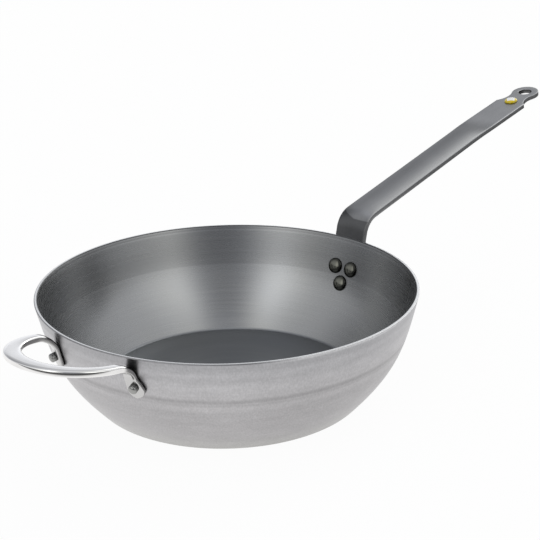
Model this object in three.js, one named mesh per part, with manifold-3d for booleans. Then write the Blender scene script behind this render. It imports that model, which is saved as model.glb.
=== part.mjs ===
// A deep carbon-steel saute pan: a pressed bowl with a long riveted bar handle and a cast helper loop.
// Millimetres, +Z up. The origin is the centre of the base's underside, and the long handle points along +X.

import * as THREE from 'three';
import { mergeVertices } from 'three/addons/utils/BufferGeometryUtils.js';
import Module from 'manifold-3d';

const wasm = await Module();
wasm.setup();

// Pan body: one pressed sheet.
const RIM_RADIUS = 160;
const PAN_HEIGHT = 92.5;
const BASE_RADIUS = 115.5;          // where the lines of base and wall would meet
const SHEET = 2.5;
const KNUCKLE_RADIUS = 4.5;         // outside radius between base and wall
const WALL_FOOT_LEAN = 42;          // degrees from upright, at the base
const WALL_RIM_LEAN = 13;           // degrees from upright, at the rim
const WALL_FOOT_PULL = 47.5;        // how far the wall keeps its lean above the base
const WALL_RIM_PULL = 45;           // how far the wall keeps its lean below the rim
const RIM_BREAK = 0.4;              // chamfer on both edges of the cut rim

// Long handle: one flat bar, curved to the wall at its foot and arched along the grip.
const BAR_THICKNESS = 4.5;
const BAR_EDGE = 0.7;               // chamfer along the bar's edges
const FOOT_WIDTH = 33;
const FOOT_CORNER = 12;             // rounded lower corners of the foot
const FOOT_BOTTOM = 37;             // height of the foot's lower end
const BEND_RADIUS = 20;             // upper face of the bend above the rim
const GRIP_WIDTH = 32.2;
const GRIP_RISE = 14;               // degrees above level
const GRIP_CROWN = 3.2;             // height of the arch across the grip
const CROWN_RUN_IN = 34;            // length over which the arch grows, from the middle of the bend
const CROWN_RUN_OUT = 38;           // length over which the arch fades into the flat end
const END_WIDTH = 33.4;
const END_RISE = 12.4;              // degrees above level
const END_LENGTH = 103;             // from the eye's centre back to the grip
const EYE_REACH = 451.5;            // pan axis to the eye's centre
const EYE_HEIGHT = 180.6;           // upper face of the bar at the eye's centre
const EYE_RADIUS = 13.9;
const EYE_HOLE_RADIUS = 6.8;
const NECK_RADIUS = 21;             // hollow curve between shoulder and eye
const SHOULDER_DISTANCE = 28.9;      // eye's centre back to the shoulders

// Handle rivets: two above and one below, with domed heads inside the pan.
const RIVET_HEAD_RADIUS = 7.25;
const RIVET_HEAD_HEIGHT = 3.6;
const RIVET_SHANK_RADIUS = 3.5;
const RIVET_TAIL_RADIUS = 5.5;
const RIVET_TAIL_HEIGHT = 2.4;
const UPPER_RIVET_HEIGHT = 64.4;
const UPPER_RIVET_SPACING = 18.4;
const LOWER_RIVET_HEIGHT = 50;

// Helper: a loop of flat section on two lugs.
const HELPER_AZIMUTH = 183;         // degrees round the pan from the long handle
const HELPER_SPREAD = 16.3;         // degrees from the helper's middle to each rivet
const HELPER_RIVET_HEIGHT = 69;
const HELPER_RIVET_SHANK_RADIUS = 3;
const STUB_RADIUS = 3.6;            // rivet end that stands out from the lug
const STUB_LENGTH = 4.6;
const STUB_DOME = 2;
const LUG_WIDTH = 15;
const LUG_THICKNESS = 3.6;
const LUG_DROP = 10;                // rivet's centre to the lug's lower end
const LUG_FLAT = 4;                 // flat left at the lug's rounded end
const LUG_NECK_WIDTH = 8.6;         // where the lug runs into the bend
const LUG_NECK_SPREAD = 15;         // degrees from the helper's middle to the lug's neck
const LOOP_HEIGHT = 89.6;           // upper face of the loop, level with the pan's wall
const LOOP_RISE = 7.4;              // degrees the loop climbs away from the pan
const LOOP_REACH = 49.5;            // pan's rim to the middle of the loop's bow
const LOOP_HALF_WIDTH = 44.4;       // helper's middle to the middle of each arm
const LOOP_LEAN = 6;                // how far the bow sits off the helper's middle
const LOOP_BEND = 8;                // size of the bend from lug to arm
const LOOP_BEND_PULL = 5;           // how far the bend keeps the direction of lug and arm
const LOOP_BOW_WIDTH = 13;
const LOOP_ARM_WIDTH = 8.6;
const LOOP_THICKNESS = 5.6;
const LUG_ROUNDNESS = 0.35;         // of a section, between 0 for a rectangle and 1 for an oval
const ARM_ROUNDNESS = 0.6;
const BOW_ROUNDNESS = 0.42;

// Button in the handle's flat end.
const BUTTON_RADIUS = 6.8;
const BUTTON_DOME = 3;
const BUTTON_STEM_RADIUS = 2.5;
const BUTTON_DISTANCE = 27.2;        // eye's centre back to the button's

// Fits and facets.
const CLEARANCE = 0.3;
const BOWL_SEGMENTS = 72;
const ROUND_SEGMENTS = 24;
const END_CROWDING = 1.5;           // how much closer sections stand at a rounded end
const OVERCUT = 10;                 // how far a cutting tool reaches past the metal

const rad = THREE.MathUtils.degToRad;
const lerp = THREE.MathUtils.lerp;
const smooth = (value, start, end) => THREE.MathUtils.smoothstep(value, start, end);

// Solids: a closed geometry becomes an exact solid to be cut, and the result becomes a geometry again.

function toSolid(geometry, matrix) {
  const bare = geometry.index ? geometry.toNonIndexed() : geometry.clone();
  bare.deleteAttribute('normal');
  bare.deleteAttribute('uv');
  if (matrix) bare.applyMatrix4(matrix);
  const merged = mergeVertices(bare, 1e-4);
  const corners = merged.index.array;
  const triVerts = [];
  for (let i = 0; i < corners.length; i += 3) {
    const [a, b, c] = [corners[i], corners[i + 1], corners[i + 2]];
    if (a !== b && b !== c && c !== a) triVerts.push(a, b, c);
  }
  return new wasm.Manifold(new wasm.Mesh({
    numProp: 3,
    vertProperties: new Float32Array(merged.attributes.position.array),
    triVerts: new Uint32Array(triVerts),
  }));
}

function toGeometry(solid) {
  const mesh = solid.getMesh();
  const geometry = new THREE.BufferGeometry();
  geometry.setAttribute('position', new THREE.BufferAttribute(mesh.vertProperties, 3));
  geometry.setIndex(new THREE.BufferAttribute(mesh.triVerts, 1));
  return geometry;
}

function cutAway(geometry, tools) {
  return toGeometry(tools.reduce((solid, tool) => solid.subtract(tool), toSolid(geometry)));
}

// A turned piece about Z, from a profile of [radius, height] that starts and ends on the axis, lowest first.
function turned(profile, segments) {
  const points = profile.map(([r, z]) => new THREE.Vector2(r, z));
  return new THREE.LatheGeometry(points, segments).rotateX(Math.PI / 2);
}

function drill(radius, from, to, matrix) {
  return toSolid(turned([[0, from], [radius, from], [radius, to], [0, to]], ROUND_SEGMENTS), matrix);
}

// Points of a dome from its rim up to its pole, as [radius, height above the rim].
function dome(radius, height, steps) {
  return Array.from({ length: steps + 1 }, (_, i) => {
    const turn = (i / steps) * Math.PI / 2;
    return [i === steps ? 0 : radius * Math.cos(turn), height * Math.sin(turn)];
  });
}

// A solid through a row of sections that all have the same number of points, with both ends closed.
function loft(sections) {
  const count = sections[0].length;
  const triangles = [];
  sections.slice(1).forEach((section, row) => {
    const before = sections[row];
    for (let i = 0; i < count; i += 1) {
      const j = (i + 1) % count;
      triangles.push(before[j], before[i], section[j], section[j], before[i], section[i]);
    }
  });
  const caps = [sections[0], sections.at(-1).toReversed()];
  caps.forEach((cap) => {
    const middle = cap.reduce((sum, p) => sum.add(p), new THREE.Vector3()).divideScalar(count);
    cap.forEach((p, i) => triangles.push(middle, p, cap[(i + 1) % count]));
  });
  return new THREE.BufferGeometry().setFromPoints(triangles);
}

// The outer line of the wall, as radius and height, and the places on it that other pieces are fixed to.

const wallFootLean = rad(WALL_FOOT_LEAN);
const wallRimLean = rad(WALL_RIM_LEAN);
const wallCurve = new THREE.CubicBezierCurve(
  new THREE.Vector2(BASE_RADIUS, 0),
  new THREE.Vector2(
    BASE_RADIUS + WALL_FOOT_PULL * Math.sin(wallFootLean),
    WALL_FOOT_PULL * Math.cos(wallFootLean),
  ),
  new THREE.Vector2(
    RIM_RADIUS - WALL_RIM_PULL * Math.sin(wallRimLean),
    PAN_HEIGHT - WALL_RIM_PULL * Math.cos(wallRimLean),
  ),
  new THREE.Vector2(RIM_RADIUS, PAN_HEIGHT),
);

// Radius, lean from upright and curvature of the wall's outside at a height.
function wallAt(height) {
  let low = 0;
  let high = 1;
  const halvings = 40;
  for (let i = 0; i < halvings; i += 1) {
    const middle = (low + high) / 2;
    if (wallCurve.getPoint(middle).y < height) low = middle;
    else high = middle;
  }
  const leanAt = (t) => {
    const tangent = wallCurve.getTangent(THREE.MathUtils.clamp(t, 0, 1));
    return Math.atan2(tangent.x, tangent.y);
  };
  const step = 0.02;
  const before = wallCurve.getPoint(Math.max(low - step, 0));
  const after = wallCurve.getPoint(Math.min(low + step, 1));
  const upCurvature = Math.abs(leanAt(low - step) - leanAt(low + step)) / before.distanceTo(after);
  const lean = leanAt(low);
  const radius = wallCurve.getPoint(low).x;
  return { radius, lean, roundCurvature: Math.cos(lean) / radius, upCurvature };
}

// A frame on the wall's outside: Z points straight out of the metal and X runs round the pan.
function wallFrame(azimuth, height) {
  const { radius, lean } = wallAt(height);
  const out = new THREE.Vector3(Math.cos(lean), 0, -Math.sin(lean));
  const round = new THREE.Vector3(0, 1, 0);
  const frame = new THREE.Matrix4().makeBasis(round, out.clone().cross(round), out);
  frame.setPosition(radius, 0, height);
  return frame.premultiply(new THREE.Matrix4().makeRotationZ(azimuth));
}

const upperRivetTurn = Math.asin(UPPER_RIVET_SPACING / 2 / wallAt(UPPER_RIVET_HEIGHT).radius);

function fixedRivet(name, azimuth, height, shank) {
  return { name, height, shank, frame: wallFrame(azimuth, height) };
}

const handleRivets = [
  fixedRivet('handle_rivet_upper_left', upperRivetTurn, UPPER_RIVET_HEIGHT, RIVET_SHANK_RADIUS),
  fixedRivet('handle_rivet_upper_right', -upperRivetTurn, UPPER_RIVET_HEIGHT, RIVET_SHANK_RADIUS),
  fixedRivet('handle_rivet_lower', 0, LOWER_RIVET_HEIGHT, RIVET_SHANK_RADIUS),
];
const helperRivets = [
  ['helper_rivet_left', HELPER_AZIMUTH - HELPER_SPREAD],
  ['helper_rivet_right', HELPER_AZIMUTH + HELPER_SPREAD],
].map(([name, turn]) => fixedRivet(name, rad(turn), HELPER_RIVET_HEIGHT, HELPER_RIVET_SHANK_RADIUS));

const rivetHole = (rivet, inner, outer) => drill(rivet.shank + CLEARANCE, -inner, outer, rivet.frame);

// Pan body: the sheet's outside line, its inside line one sheet thickness away, and a level cut rim.
function panBody() {
  const turn = Math.PI / 2 - wallFootLean;
  const tangentLength = KNUCKLE_RADIUS * Math.tan(turn / 2);
  const outside = [];
  const knuckleSteps = 4;
  for (let i = 0; i <= knuckleSteps; i += 1) {
    const angle = (i / knuckleSteps) * turn;
    const normal = [Math.sin(angle), -Math.cos(angle)];
    const centre = [BASE_RADIUS - tangentLength, KNUCKLE_RADIUS];
    outside.push({ point: normal.map((n, k) => centre[k] + KNUCKLE_RADIUS * n), normal });
  }
  const wallSteps = 11;
  const start = tangentLength / wallCurve.getLength();
  for (let i = 1; i < wallSteps; i += 1) {
    const u = lerp(start, 1, i / wallSteps);
    const tangent = wallCurve.getTangentAt(u);
    outside.push({ point: wallCurve.getPointAt(u).toArray(), normal: [tangent.y, -tangent.x] });
  }
  const inside = outside.map(({ point, normal }) => point.map((p, k) => p - SHEET * normal[k]));
  const innerRim = RIM_RADIUS - SHEET / Math.cos(wallRimLean);
  const breakShift = RIM_BREAK * Math.tan(wallRimLean);
  const rim = [
    [RIM_RADIUS - breakShift, PAN_HEIGHT - RIM_BREAK],
    [RIM_RADIUS - RIM_BREAK, PAN_HEIGHT],
    [innerRim + RIM_BREAK, PAN_HEIGHT],
    [innerRim - breakShift, PAN_HEIGHT - RIM_BREAK],
  ];
  const profile = [[0, 0], ...outside.map(({ point }) => point), ...rim, ...inside.toReversed(), [0, SHEET]];
  const holes = [...handleRivets, ...helperRivets].map((rivet) => rivetHole(rivet, OVERCUT, OVERCUT));
  return cutAway(turned(profile, BOWL_SEGMENTS), holes);
}

const headSteps = 5;

// A rivet: a domed head inside the pan, a shank through both metals and an upset end outside.
function rivetGeometry(rivet, gripped, tail) {
  const wall = wallAt(rivet.height);
  const hollow = RIVET_HEAD_RADIUS ** 2 / 2 * Math.max(wall.roundCurvature, wall.upCurvature);
  const seat = -(SHEET + hollow + CLEARANCE);
  const head = dome(RIVET_HEAD_RADIUS, RIVET_HEAD_HEIGHT, headSteps).toReversed();
  const outer = gripped + CLEARANCE;
  const profile = [
    ...head.map(([r, h]) => [r, seat - h]),
    [rivet.shank, seat],
    [rivet.shank, outer],
    ...tail.map(([r, h]) => [r, outer + h]),
  ];
  return turned(profile, ROUND_SEGMENTS).applyMatrix4(rivet.frame);
}

const tailSteps = 4;
const peenedTail = dome(RIVET_TAIL_RADIUS, RIVET_TAIL_HEIGHT, tailSteps);
const stubEnd = dome(STUB_RADIUS, STUB_DOME, tailSteps).map(([r, h]) => [r, STUB_LENGTH - STUB_DOME + h]);
const stubTail = [[STUB_RADIUS, 0], ...stubEnd];

// Long handle: the line of the bar's upper face, from the foot's lower end up the wall, round the bend
// and out to the eye.

const gripRise = rad(GRIP_RISE);
const endRise = rad(END_RISE);
const along = (angle) => new THREE.Vector2(Math.cos(angle), Math.sin(angle));
const eyeCentre = new THREE.Vector2(EYE_REACH, EYE_HEIGHT);
const endStart = eyeCentre.clone().addScaledVector(along(endRise), -END_LENGTH);
const barEnd = eyeCentre.clone().addScaledVector(along(endRise), EYE_RADIUS + OVERCUT);

function offWall(height) {
  const { radius, lean } = wallAt(height);
  return new THREE.Vector2(radius + CLEARANCE * Math.cos(lean), height - CLEARANCE * Math.sin(lean));
}

// Each station holds the upper face's middle, the bar's direction, its distance along the bar and its place.
function barStations() {
  const stations = [];
  const footSteps = 16;
  for (let i = 0; i <= footSteps; i += 1) {
    const height = lerp(FOOT_BOTTOM, PAN_HEIGHT, (i / footSteps) ** END_CROWDING);
    const { lean, roundCurvature } = wallAt(height);
    stations.push({ point: offWall(height), angle: Math.PI / 2 - lean, wrap: roundCurvature });
  }
  const rimStation = stations.at(-1);
  const rimDirection = along(rimStation.angle);
  const gripDirection = along(gripRise);
  const gap = endStart.clone().sub(rimStation.point);
  const toCorner = gap.cross(gripDirection) / rimDirection.cross(gripDirection);
  const corner = rimStation.point.clone().addScaledVector(rimDirection, toCorner);
  const turn = rimStation.angle - gripRise;
  const bendStart = corner.clone().addScaledVector(rimDirection, -BEND_RADIUS * Math.tan(turn / 2));
  const bendInward = along(rimStation.angle - Math.PI / 2);
  const bendCentre = bendStart.clone().addScaledVector(bendInward, BEND_RADIUS);
  const bendSteps = 10;
  for (let i = 0; i <= bendSteps; i += 1) {
    const share = i / bendSteps;
    const angle = lerp(rimStation.angle, gripRise, share);
    const point = bendCentre.clone().add(along(angle + Math.PI / 2).multiplyScalar(BEND_RADIUS));
    stations.push({ point, angle, wrap: rimStation.wrap * (1 - share) ** 2 });
  }
  const bendEnd = stations.at(-1).point;
  const addStraight = (from, to, angle, steps) => {
    for (let i = 1; i <= steps; i += 1) {
      stations.push({ point: from.clone().lerp(to, i / steps), angle, wrap: 0 });
    }
  };
  const runIn = bendEnd.clone().addScaledVector(gripDirection, CROWN_RUN_IN);
  const runOut = endStart.clone().addScaledVector(gripDirection, -CROWN_RUN_OUT / 2);
  const flatStart = endStart.clone().addScaledVector(along(endRise), CROWN_RUN_OUT / 2);
  const changingSteps = 5;
  const steadySteps = 2;
  addStraight(bendEnd, runIn, gripRise, changingSteps);
  addStraight(runIn, runOut, gripRise, steadySteps);
  addStraight(runOut, endStart, gripRise, changingSteps);
  addStraight(endStart, flatStart, endRise, changingSteps);
  addStraight(flatStart, barEnd, endRise, steadySteps);
  let travelled = 0;
  stations.forEach((station, i) => {
    if (i > 0) travelled += station.point.distanceTo(stations[i - 1].point);
    station.distance = travelled;
  });
  const distanceOf = (point) => stations.find((station) => station.point.equals(point)).distance;
  const crownStart = distanceOf(bendEnd);
  stations.forEach((station) => {
    const grown = smooth(station.distance, crownStart, distanceOf(runIn));
    const faded = smooth(station.distance, distanceOf(runOut), distanceOf(flatStart));
    station.crown = GRIP_CROWN * grown * (1 - faded);
    station.width = lerp(lerp(FOOT_WIDTH, GRIP_WIDTH, grown), END_WIDTH, faded);
    const fromEnd = Math.max(FOOT_CORNER - station.distance, 0);
    station.width -= 2 * (FOOT_CORNER - Math.sqrt(FOOT_CORNER ** 2 - fromEnd ** 2));
  });
  return stations;
}

// The bar's section at a station, wrapped round the wall at the foot and crowned along the grip.
function barSection({ point, angle, width, wrap, crown }) {
  const up = along(angle + Math.PI / 2);
  const half = width / 2;
  const wrapLift = (y) => (wrap > 0 ? 1 / wrap - Math.sqrt(1 / wrap ** 2 - y ** 2) : 0);
  const lift = (y) => crown * (1 - (y / half) ** 2) + wrapLift(y);
  const place = (y, drop) => {
    const height = lift(y) - drop;
    return new THREE.Vector3(point.x + up.x * height, y, point.y + up.y * height);
  };
  const steps = 8;
  const across = Array.from({ length: steps + 1 }, (_, i) => lerp(-1, 1, i / steps) * (half - BAR_EDGE));
  return [
    ...across.map((y) => place(y, 0)),
    place(half, BAR_EDGE),
    place(half, BAR_THICKNESS - BAR_EDGE),
    ...across.toReversed().map((y) => place(y, BAR_THICKNESS)),
    place(-half, BAR_THICKNESS - BAR_EDGE),
    place(-half, BAR_EDGE),
  ];
}

// A frame on the flat end's upper face at the eye: X along the bar to the tip, Z straight up from the face.
const eyeFrame = new THREE.Matrix4().makeRotationY(-endRise).setPosition(EYE_REACH, 0, EYE_HEIGHT);

// The outline that is cut from the bar's end: shoulders, hollow necks and a round eye.
function eyeOutline() {
  const shoulder = new THREE.Vector2(-SHOULDER_DISTANCE, END_WIDTH / 2);
  const toShoulder = shoulder.length();
  const toNeck = EYE_RADIUS + NECK_RADIUS;
  const spread = (toNeck ** 2 + toShoulder ** 2 - NECK_RADIUS ** 2) / (2 * toNeck * toShoulder);
  const neckAngle = shoulder.angle() - Math.acos(spread);
  const neck = along(neckAngle).multiplyScalar(toNeck);
  const fromNeck = shoulder.clone().sub(neck).angle();
  const outline = new THREE.Shape();
  outline.moveTo(-SHOULDER_DISTANCE, -END_WIDTH / 2);
  outline.absarc(neck.x, -neck.y, NECK_RADIUS, -fromNeck, Math.PI - neckAngle, true);
  outline.absarc(0, 0, EYE_RADIUS, -neckAngle, neckAngle, false);
  outline.absarc(neck.x, neck.y, NECK_RADIUS, neckAngle + Math.PI, fromNeck, true);
  return outline.extractPoints(ROUND_SEGMENTS / 2).shape;
}

function eyeCutter() {
  const far = EYE_RADIUS + 2 * OVERCUT;
  const wide = END_WIDTH / 2 + OVERCUT;
  const waste = new THREE.Shape([
    new THREE.Vector2(-SHOULDER_DISTANCE, END_WIDTH / 2),
    new THREE.Vector2(-SHOULDER_DISTANCE, wide),
    new THREE.Vector2(far, wide),
    new THREE.Vector2(far, -wide),
    new THREE.Vector2(-SHOULDER_DISTANCE, -wide),
    ...eyeOutline(),
  ]);
  const depth = BAR_THICKNESS + 2 * OVERCUT;
  const blank = new THREE.ExtrudeGeometry(waste, { depth, bevelEnabled: false });
  return toSolid(blank.translate(0, 0, -BAR_THICKNESS - OVERCUT), eyeFrame);
}

const buttonFrame = eyeFrame.clone().multiply(new THREE.Matrix4().makeTranslation(-BUTTON_DISTANCE, 0, 0));

function longHandle() {
  const bar = loft(barStations().map(barSection));
  const through = -BAR_THICKNESS - OVERCUT;
  return cutAway(bar, [
    eyeCutter(),
    drill(EYE_HOLE_RADIUS, through, OVERCUT, eyeFrame),
    drill(BUTTON_STEM_RADIUS + CLEARANCE, through, OVERCUT, buttonFrame),
    ...handleRivets.map((rivet) => rivetHole(rivet, OVERCUT, OVERCUT + BAR_THICKNESS)),
  ]);
}

function handleButton() {
  const profile = [
    [0, -BAR_THICKNESS],
    [BUTTON_STEM_RADIUS, -BAR_THICKNESS],
    [BUTTON_STEM_RADIUS, CLEARANCE],
    ...dome(BUTTON_RADIUS, BUTTON_DOME, headSteps).map(([r, h]) => [r, CLEARANCE + h]),
  ];
  return turned(profile, ROUND_SEGMENTS).applyMatrix4(buttonFrame);
}

// Helper: the line of its upper face runs up one lug, round the bow and down the other lug. It is worked out
// with the loop pointing along -X and turned to its place on the pan at the end.

const helperSpread = rad(HELPER_SPREAD);
const neckSpread = rad(LUG_NECK_SPREAD);
const loopRise = rad(LOOP_RISE);
const outward = new THREE.Vector3(-Math.cos(loopRise), 0, Math.sin(loopRise));
const loopUp = new THREE.Vector3(Math.sin(loopRise), 0, Math.cos(loopRise));

const meridian = (spread) => new THREE.Vector3(-Math.cos(spread), Math.sin(spread), 0);
const roundWall = (spread) => new THREE.Vector3(Math.sin(spread), Math.cos(spread), 0);

// Half of the loop, from the lug's lower end to the middle of the bow.
function halfLoop() {
  const stations = [];
  const lugEnd = HELPER_RIVET_HEIGHT - LUG_DROP * Math.cos(wallAt(HELPER_RIVET_HEIGHT).lean);
  const lugTop = LOOP_HEIGHT - LOOP_BEND;
  const endRadius = LUG_WIDTH / 2;
  const lugSteps = 12;
  let fromEnd = 0;
  for (let i = 0; i <= lugSteps; i += 1) {
    const height = lerp(lugEnd, lugTop, (i / lugSteps) ** END_CROWDING);
    const taper = smooth(height, HELPER_RIVET_HEIGHT, lugTop);
    const spread = lerp(helperSpread, neckSpread, taper);
    const { x: radius, y: z } = offWall(height);
    const point = meridian(spread).multiplyScalar(radius).setZ(z);
    if (i > 0) fromEnd += point.distanceTo(stations[i - 1].point);
    const rounding = Math.max(endRadius - fromEnd, 0);
    const roundEnd = Math.max(2 * Math.sqrt(endRadius ** 2 - rounding ** 2), LUG_FLAT);
    const { lean } = wallAt(height);
    stations.push({
      point,
      tangent: meridian(spread).multiplyScalar(Math.sin(lean)).setZ(Math.cos(lean)),
      side: roundWall(spread),
      width: Math.min(roundEnd, lerp(LUG_WIDTH, LUG_NECK_WIDTH, taper)),
      thickness: LUG_THICKNESS,
      roundness: LUG_ROUNDNESS,
    });
  }
  const neck = stations.at(-1);
  const armStart = new THREE.Vector3(-RIM_RADIUS * Math.cos(neckSpread), LOOP_HALF_WIDTH, LOOP_HEIGHT);
  armStart.addScaledVector(outward, LOOP_BEND);
  const bend = new THREE.CubicBezierCurve3(
    neck.point,
    neck.point.clone().addScaledVector(neck.tangent, LOOP_BEND_PULL),
    armStart.clone().addScaledVector(outward, -LOOP_BEND_PULL),
    armStart,
  );
  const bendSteps = 10;
  for (let i = 1; i <= bendSteps; i += 1) {
    const share = i / bendSteps;
    stations.push({
      point: bend.getPoint(share),
      tangent: bend.getTangent(share),
      side: roundWall(neckSpread * (1 - share)),
      width: lerp(LUG_NECK_WIDTH, LOOP_ARM_WIDTH, share),
      thickness: lerp(LUG_THICKNESS, LOOP_THICKNESS, share),
      roundness: lerp(LUG_ROUNDNESS, ARM_ROUNDNESS, share),
    });
  }
  const bowMiddle = new THREE.Vector3(-RIM_RADIUS, 0, LOOP_HEIGHT).addScaledVector(outward, LOOP_REACH);
  const depth = bowMiddle.sub(armStart).dot(outward);
  const bowSteps = 14;
  for (let i = 1; i <= bowSteps; i += 1) {
    const angle = (i / bowSteps) * Math.PI / 2;
    const arm = armStart.clone().setY(LOOP_HALF_WIDTH * Math.cos(angle));
    const across = new THREE.Vector3(0, -LOOP_HALF_WIDTH * Math.sin(angle), 0);
    const tangent = across.addScaledVector(outward, depth * Math.cos(angle)).normalize();
    const share = smooth(Math.sin(angle), 0, 1);
    stations.push({
      point: arm.addScaledVector(outward, depth * Math.sin(angle)),
      tangent,
      side: tangent.clone().cross(loopUp),
      width: lerp(LOOP_ARM_WIDTH, LOOP_BOW_WIDTH, share),
      thickness: LOOP_THICKNESS,
      roundness: lerp(ARM_ROUNDNESS, BOW_ROUNDNESS, share),
    });
  }
  return stations;
}

// A section between a rectangle and an oval, hung below the line of the upper face.
function loopSection({ point, tangent, side, width, thickness, roundness }) {
  const across = side.clone().addScaledVector(tangent, -side.dot(tangent)).normalize();
  const up = across.clone().cross(tangent);
  const steps = 16;
  const soften = (value) => Math.sign(value) * Math.abs(value) ** roundness;
  return Array.from({ length: steps }, (_, i) => {
    const angle = (i / steps) * Math.PI * 2;
    const reach = width / 2 * soften(Math.cos(angle));
    const height = thickness / 2 * (soften(Math.sin(angle)) - 1);
    return point.clone().addScaledVector(across, reach).addScaledVector(up, height);
  });
}

function helperHandle() {
  const half = halfLoop();
  const mirrorY = (v) => v.clone().setY(-v.y);
  const otherHalf = half.slice(0, -1).toReversed().map((station) => ({
    ...station,
    point: mirrorY(station.point),
    tangent: mirrorY(station.tangent).negate(),
    side: mirrorY(station.side),
  }));
  const stations = [...half, ...otherHalf];
  stations.forEach(({ point }) => {
    point.y += LOOP_LEAN * Math.max(-point.x - RIM_RADIUS, 0) / LOOP_REACH;
  });
  const loop = loft(stations.map(loopSection)).rotateZ(rad(HELPER_AZIMUTH) - Math.PI);
  return cutAway(loop, helperRivets.map((rivet) => rivetHole(rivet, OVERCUT, OVERCUT + LUG_THICKNESS)));
}

// The assembly.

const finishes = {
  carbonSteel: { color: '#8f8f93', roughness: 0.38, metalness: 1 },
  handleSteel: { color: '#6f7073', roughness: 0.42, metalness: 1 },
  rivetSteel: { color: '#4a4b4c', roughness: 0.25, metalness: 1 },
  polishedSteel: { color: '#d9d9d6', roughness: 0.08, metalness: 1 },
  yellowResin: { color: '#d9b51c', roughness: 0.2, metalness: 0 },
};

function piece(name, geometry, finish) {
  const bare = geometry.index ? geometry.toNonIndexed() : geometry;
  bare.computeVertexNormals();
  const mesh = new THREE.Mesh(bare, new THREE.MeshStandardMaterial(finish));
  mesh.name = name;
  return mesh;
}

const pan = new THREE.Group();
pan.add(piece('pan_body', panBody(), finishes.carbonSteel));
pan.add(piece('long_handle', longHandle(), finishes.handleSteel));
for (const rivet of handleRivets) {
  const geometry = rivetGeometry(rivet, BAR_THICKNESS + CLEARANCE, peenedTail);
  pan.add(piece(rivet.name, geometry, finishes.rivetSteel));
}
pan.add(piece('helper_handle', helperHandle(), finishes.polishedSteel));
for (const rivet of helperRivets) {
  const geometry = rivetGeometry(rivet, LUG_THICKNESS + CLEARANCE, stubTail);
  pan.add(piece(rivet.name, geometry, finishes.rivetSteel));
}
pan.add(piece('handle_button', handleButton(), finishes.yellowResin));

export default pan;
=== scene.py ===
import math

import bmesh
import bpy
import numpy as np
from mathutils import Matrix, Vector
from mathutils.geometry import interpolate_bezier


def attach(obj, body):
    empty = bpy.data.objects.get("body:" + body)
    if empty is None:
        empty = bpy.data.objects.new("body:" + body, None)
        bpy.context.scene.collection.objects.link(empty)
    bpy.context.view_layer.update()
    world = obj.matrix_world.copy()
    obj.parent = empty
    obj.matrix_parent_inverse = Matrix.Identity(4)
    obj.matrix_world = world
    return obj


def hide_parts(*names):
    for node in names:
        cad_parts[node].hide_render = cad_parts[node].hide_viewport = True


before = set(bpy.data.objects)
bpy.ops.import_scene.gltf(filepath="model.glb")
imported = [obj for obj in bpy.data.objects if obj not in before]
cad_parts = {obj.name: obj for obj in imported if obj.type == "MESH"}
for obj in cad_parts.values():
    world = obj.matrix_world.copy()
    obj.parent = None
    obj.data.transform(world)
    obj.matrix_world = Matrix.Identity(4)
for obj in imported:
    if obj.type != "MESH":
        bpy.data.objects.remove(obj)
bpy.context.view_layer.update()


# Pan body: one disc of carbon steel, pressed into a deep bowl with a flat base and flared walls, then cut
# level at the rim. The outside is ground to a light satin in turned bands and the inside is left darker.
SHEET = 0.0025
RIM_RADIUS = 0.160
PAN_HEIGHT = 0.0925
BASE_RADIUS = 0.1155
FOOT_LEAN, RIM_LEAN = math.radians(42), math.radians(13)
FOOT_PULL, RIM_PULL, WALL_POINTS = 0.0475, 0.045, 49
KNUCKLE_OFFSET = 0.0021
OUTER_BREAK, INNER_BREAK = 0.0008, 0.0004
TRIM = 0.003
PAN_TURNS = 256
OUTSIDE, INSIDE, RIM_TOP = range(3)
SHARP_EDGE = math.radians(40)
# The side of the pan whose outer rim break is painted lighter: a painted highlight.
RIM_GLINT_SIDE = (0.69, -0.725, 0)
NOISE_LOW, NOISE_HIGH = 0.3, 0.7


def leaning(lean):
    return Vector((math.sin(lean), 0, math.cos(lean)))


base_corner = Vector((BASE_RADIUS, 0, 0))
rim_corner = Vector((RIM_RADIUS, 0, PAN_HEIGHT))
wall_line = interpolate_bezier(
    base_corner,
    base_corner + leaning(FOOT_LEAN) * FOOT_PULL,
    rim_corner - leaning(RIM_LEAN) * RIM_PULL,
    rim_corner,
    WALL_POINTS,
)


def all_of(bm):
    return bm.verts[:] + bm.edges[:] + bm.faces[:]


def chain(bm, points):
    """A row of vertices joined by edges."""
    verts = [bm.verts.new(p) for p in points]
    for a, b in zip(verts, verts[1:]):
        bm.edges.new((a, b))
    return verts


def turn_full(bm, steps):
    """Spins what is there once round Z and closes its poles."""
    bmesh.ops.spin(bm, geom=all_of(bm), cent=(0, 0, 0), axis=(0, 0, 1), angle=2 * math.pi,
                   steps=steps, use_merge=True)
    bmesh.ops.remove_doubles(bm, verts=bm.verts, dist=1e-6)
    bmesh.ops.recalc_face_normals(bm, faces=bm.faces)


def finish_piece(name, bm, materials, slot, *nodes):
    """Makes the object from its mesh, with its finish and the nodes that it stands for."""
    mesh = bpy.data.meshes.new(name)
    bm.to_mesh(mesh)
    bm.free()
    mesh.polygons.foreach_set("use_smooth", [True] * len(mesh.polygons))
    mesh.set_sharp_from_angle(angle=SHARP_EDGE)
    for material in materials:
        mesh.materials.append(material)
    piece = bpy.data.objects.new(name, mesh)
    bpy.context.scene.collection.objects.link(piece)
    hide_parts(*nodes)
    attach(piece, "root")


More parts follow.
